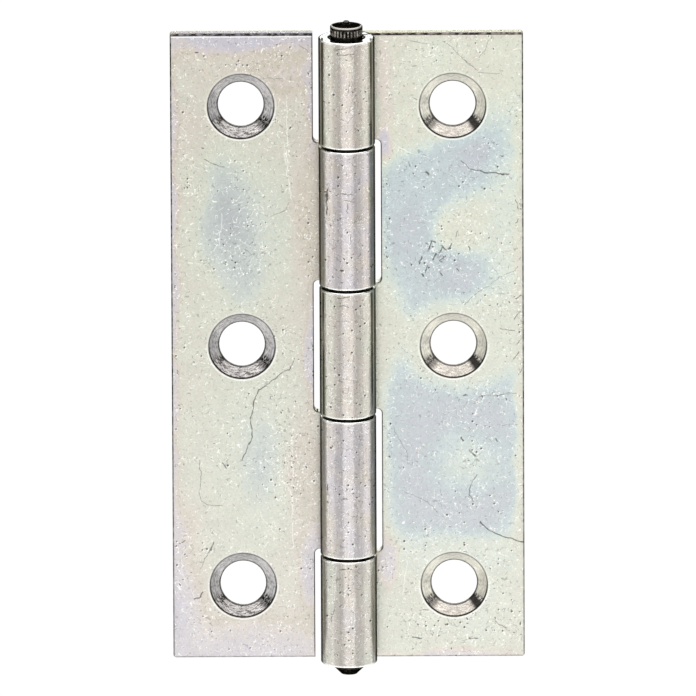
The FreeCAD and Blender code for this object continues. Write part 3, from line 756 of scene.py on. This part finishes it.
DOOR_DARK = (
    (0.09, ((-6.2, -1.5), (-7.0, -2.7), (-8.3, -3.7), (-10.3, -5.2), (-10.9, -6.6))),
    (0.10, ((-10.9, -6.6), (-11.3, -8.5), (-11.2, -10.5), (-11.7, -12.2), (-12.3, -13.7))),
    (0.07, ((-17.3, -13.4), (-17.2, -18.6), (-16.4, -19.0), (-14.6, -19.2))),
    (0.09, ((-15.8, -23.6), (-16.3, -24.8))),
    (0.07, ((-16.4, -24.8), (-16.9, -26.0), (-17.3, -27.0))),
    (0.11, ((-18.0, -30.3), (-17.4, -30.3), (-17.0, -29.6))),
    (0.08, ((-19.8, -23.7), (-19.0, -23.5))),
    (0.06, ((-10.6, 32.2), (-7.5, 32.1))),
    (0.11, ((-17.7, 35.4), (-17.3, 35.3))),
    (0.08, ((-10.5, 34.0), (-10.4, 34.0))),
    (0.07, ((-5.4, 36.2), (-4.4, 35.3))),
    (0.11, ((-16.9, 23.9), (-16.7, 23.8))),
    (0.08, ((-16.6, 22.5), (-15.4, 21.9), (-14.2, 21.5))),
    (0.06, ((-8.9, 15.6), (-7.4, 16.2), (-6.6, 17.2))),
    (0.09, ((-14.6, -13.9), (-14.2, -14.6))),
    (0.08, ((-12.2, -14.4), (-12.0, -14.4))),
    (0.08, ((-20.0, -2.9), (-19.8, -3.4))),
    (0.13, ((-2.3, 20.0), (-2.35, 17.0))),
    (0.08, ((-0.6, 19.6), (0.6, 19.5))),
    (0.08, ((-0.4, 18.8), (0.7, 18.6))),
    (0.08, ((0.0, 18.4), (0.1, 17.2))),
    (0.08, ((0.4, 14.8), (0.4, 13.4))),
    (0.16, ((-0.8, 10.4), (-0.7, 10.3))),
    (0.11, ((-2.4, -15.6), (-2.4, -16.8))),
    (0.08, ((-0.5, -17.0), (0.0, -17.1))),
)


# What differs between the leaves. A pair of numbers goes from one end to the other: brightness from
# top to bottom, knuckle_film from front to side, and both painted wedge shades from the barrel's side
# outwards.
# A sink's two colours are those of its dark and its light rings.
FRAME_FINISH = {
    "film": FRAME_FILM,
    "resting": 0.52,
    "spots": FRAME_SPOTS,
    "patches": FRAME_PATCHES,
    "strokes": (FRAME_LIGHT, FRAME_DARK),
    "brightness": (0.89, 0.88),
    "knuckle_film": (0.26, 0.42),
    "knuckle_gain": 0.98,
    "painted_side_lines": 1.0,
    "sink_even": (paint("b4b2a7"), paint("dedcd2")),
    "sink_torn": (paint("b3aaa1"), paint("dcd6ce")),
    "flank_shade_strength": (0.85, 0.95),
    "solid_shade_strength": (0.6, 0.95),
}
DOOR_FINISH = {
    "film": DOOR_FILM,
    "resting": 0.42,
    "spots": DOOR_SPOTS,
    "patches": DOOR_PATCHES,
    "strokes": (DOOR_LIGHT, DOOR_DARK),
    "brightness": (0.80, 0.86),
    "knuckle_film": (0.13, 0.18),
    "knuckle_gain": 1.06,
    "painted_side_lines": 0.35,
    "sink_even": (paint("868484"), paint("c6c4c4")),
    "sink_torn": (paint("6a6462"), paint("ccc8c6")),
    "flank_shade_strength": (1.0, 0.8),
    "solid_shade_strength": (0.65, 0.15),
}


def pin_steel(name):
    """Dark oiled steel: a knurled head with worn tooth tips that are also painted highlight, painted
    highlights round the crown's edge and on its centre, and a drawn shank.
    """
    shader = Shader(name)
    shader.inputs["Specular Tint"].default_value = paint("3a3836")
    around = shader.length(shader.join(shader.x, shader.y))
    mottle = shader.noise(shader.place, 2.2, 4.0, 0.65)[0]
    colour = shader.ramp(mottle, ((0.3, tint("121110")), (0.5, tint("262422")), (0.75, tint("5a5650"))))
    above = shader.smooth(shader.z, HALF_HEIGHT - 0.4, HALF_HEIGHT)
    tooth = shader.smooth(around, HEAD_RADIUS - 0.09, HEAD_RADIUS)
    upright = shader.smooth(shader.absolute(shader.normal[2]), 0.5, 0.2)
    # The teeth's tips are painted light, partly worn steel and partly painted highlight, only in a band
    # above the barrel.
    tooth_wear_and_highlight = shader.multiply(shader.multiply(tooth, above), upright)
    tooth_wear_and_highlight = shader.multiply(tooth_wear_and_highlight, shader.smooth(mottle, 0.35, 0.6))
    tooth_wear_and_highlight = shader.multiply(tooth_wear_and_highlight, shader.band(shader.z, HALF_HEIGHT + 0.7, 0.3, 0.1))
    colour = shader.mix(tooth_wear_and_highlight, colour, paint("b4aea4"))
    crown = shader.multiply(above, shader.smooth(shader.normal[2], 0.6, 0.9))
    # Painted highlight: a pale band round the crown's edge, strongest in front.
    crown_ring_highlight = shader.multiply(crown, shader.band(around, HEAD_RADIUS - 0.12, 0.08, 0.1))
    crown_ring_highlight = shader.multiply(crown_ring_highlight, shader.smooth(shader.y, 1.0, -0.6, 0.15, 1.0))
    colour = shader.mix(shader.multiply(crown_ring_highlight, 0.9), colour, paint("f0ece4"))
    # Painted highlight on the crown's centre.
    nub_highlight = shader.multiply(crown, shader.smooth(around, 0.6, 0.2))
    colour = shader.mix(shader.multiply(nub_highlight, 0.7), colour, paint("a5a19b"))
    drawing = shader.join(shader.multiply(shader.x, 6), shader.multiply(shader.y, 6), shader.z)
    drawn = shader.noise(drawing, 1.0, 3.0)[0]
    below = shader.smooth(shader.z, HALF_HEIGHT - 0.6, HALF_HEIGHT - 1.0)
    shank = shader.multiply(below, shader.smooth(shader.z, -HALF_HEIGHT, -HALF_HEIGHT + 0.4))
    steel = shader.ramp(drawn, ((0.3, tint("76736d")), (0.7, tint("a5a29b"))))
    colour = shader.mix(shank, colour, steel)
    roughness = shader.smooth(mottle, 0.3, 0.7, 0.42, 0.22)
    return shader.finish(colour, roughness, mottle, 0.03)


def dress(node, material):
    """Gives a CAD mesh its material."""
    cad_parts[node].data.materials[0] = material


dress("frame_leaf", zinc_leaf("zinc_frame_leaf", FRAME_FINISH))
dress("door_leaf", zinc_leaf("zinc_door_leaf", DOOR_FINISH))
dress("hinge_pin", pin_steel("dark_pin_steel"))


# -------------------------------------------------------------------- the room

FLOOR_DROP = 0.5
PANEL_DISTANCE = 1.2
PANEL_FOOT = -0.45
WALL_LIGHT = (0.6, 0.05)
CEILING_LIGHT = 2.2
BEHIND_LIGHT = 0.85
WINDOW_LIGHT = 6.0
CAMERA_WHITE = 1.03
VIEW_ELEVATION = 14.73
VIEW_ROLL = -0.263
VIEW_DISTANCE = 3.2
VIEW_WIDTH = 0.08093
VIEW_CENTRE = (0.00003, 0, 0.00023)
SENSOR_WIDTH = 36

def add_floor():
    """A pale round table top, far enough below the hinge that no shadow falls in view."""
    bpy.ops.mesh.primitive_circle_add(vertices=96, radius=1.0, fill_type="NGON")
    floor = bpy.context.object
    floor.name = "floor"
    floor.location.z = -FLOOR_DROP
    material = bpy.data.materials.new("pale_floor")
    material.use_nodes = True
    principled = material.node_tree.nodes["Principled BSDF"]
    principled.inputs["Base Color"].default_value = (0.88, 0.88, 0.87, 1)
    principled.inputs["Roughness"].default_value = 0.9
    floor.data.materials.append(material)


def add_softbox(name, azimuth, width, top, radiance):
    """An upright light panel that faces the pin; azimuth 0 is in front and 90 is on the +X side."""
    height = top - PANEL_FOOT
    light = bpy.data.lights.new(name, "AREA")
    light.shape = "RECTANGLE"
    light.size = width
    light.size_y = height
    light.energy = radiance * math.pi * width * height
    panel = bpy.data.objects.new(name, light)
    bpy.context.scene.collection.objects.link(panel)
    angle = math.radians(azimuth)
    middle = PANEL_FOOT + height / 2
    outwards = Vector((math.sin(angle), -math.cos(angle), 0))
    panel.location = outwards * PANEL_DISTANCE + Vector((0, 0, middle))
    panel.rotation_euler = Euler((math.radians(90), 0, angle))
    panel.visible_camera = False


def add_world():
    """A white room with dim walls and a bright ceiling; the camera itself sees plain white.

    Behind the hinge stands a brighter wall with a window.
    """
    world = bpy.data.worlds.new("white_room")
    bpy.context.scene.world = world
    world.use_nodes = True
    graph = Graph(world.node_tree)
    direction = graph.node("ShaderNodeTexCoord").outputs["Generated"]
    y, z = graph.split(direction)[1:]
    walls = graph.smooth(z, 0.12, 0.18, *WALL_LIGHT)
    walls = graph.blend(graph.smooth(z, 0.5, 0.62), walls, CEILING_LIGHT)
    behind = graph.smooth(y, 0.1, 0.5, 0.0, BEHIND_LIGHT)
    sill = graph.band(z, 0.255, 0.06, 0.05)
    window = graph.multiply(sill, graph.smooth(y, 0.8, 0.92, 0.0, WINDOW_LIGHT))
    light = graph.math("MAXIMUM", walls, graph.math("MAXIMUM", behind, window))
    seen = graph.node("ShaderNodeLightPath").outputs["Is Camera Ray"]
    background = graph.tree.nodes["Background"]
    background.inputs["Color"].default_value = (1.0, 1.0, 1.0, 1)
    graph.feed(background.inputs["Strength"], graph.blend(seen, light, CAMERA_WHITE))


def add_camera():
    """A long lens, in front of the hinge and looking down on it."""
    elevation = math.radians(VIEW_ELEVATION)
    back = Vector((0, -math.cos(elevation), math.sin(elevation)))
    data = bpy.data.cameras.new("camera")
    data.sensor_width = SENSOR_WIDTH
    data.lens = SENSOR_WIDTH * VIEW_DISTANCE / VIEW_WIDTH
    camera = bpy.data.objects.new("camera", data)
    bpy.context.scene.collection.objects.link(camera)
    camera.rotation_mode = "QUATERNION"
    roll = Matrix.Rotation(math.radians(VIEW_ROLL), 3, "Z").to_quaternion()
    camera.rotation_quaternion = (-back).to_track_quat("-Z", "Y") @ roll
    camera.location = Vector(VIEW_CENTRE) + back * VIEW_DISTANCE
    bpy.context.scene.camera = camera


add_floor()
add_world()
add_softbox("front_softbox", 1.5, 1.02, 0.9, 0.47)
add_softbox("left_fill", -55.0, 0.6, 0.18, 0.12)
add_softbox("left_softbox", -88.0, 1.2, 0.18, 0.34)
add_softbox("right_fill", 52.0, 0.5, 0.18, 0.08)
add_softbox("right_softbox", 90.0, 1.15, 0.18, 0.38)
add_camera()
bpy.context.scene.view_settings.view_transform = "Standard"
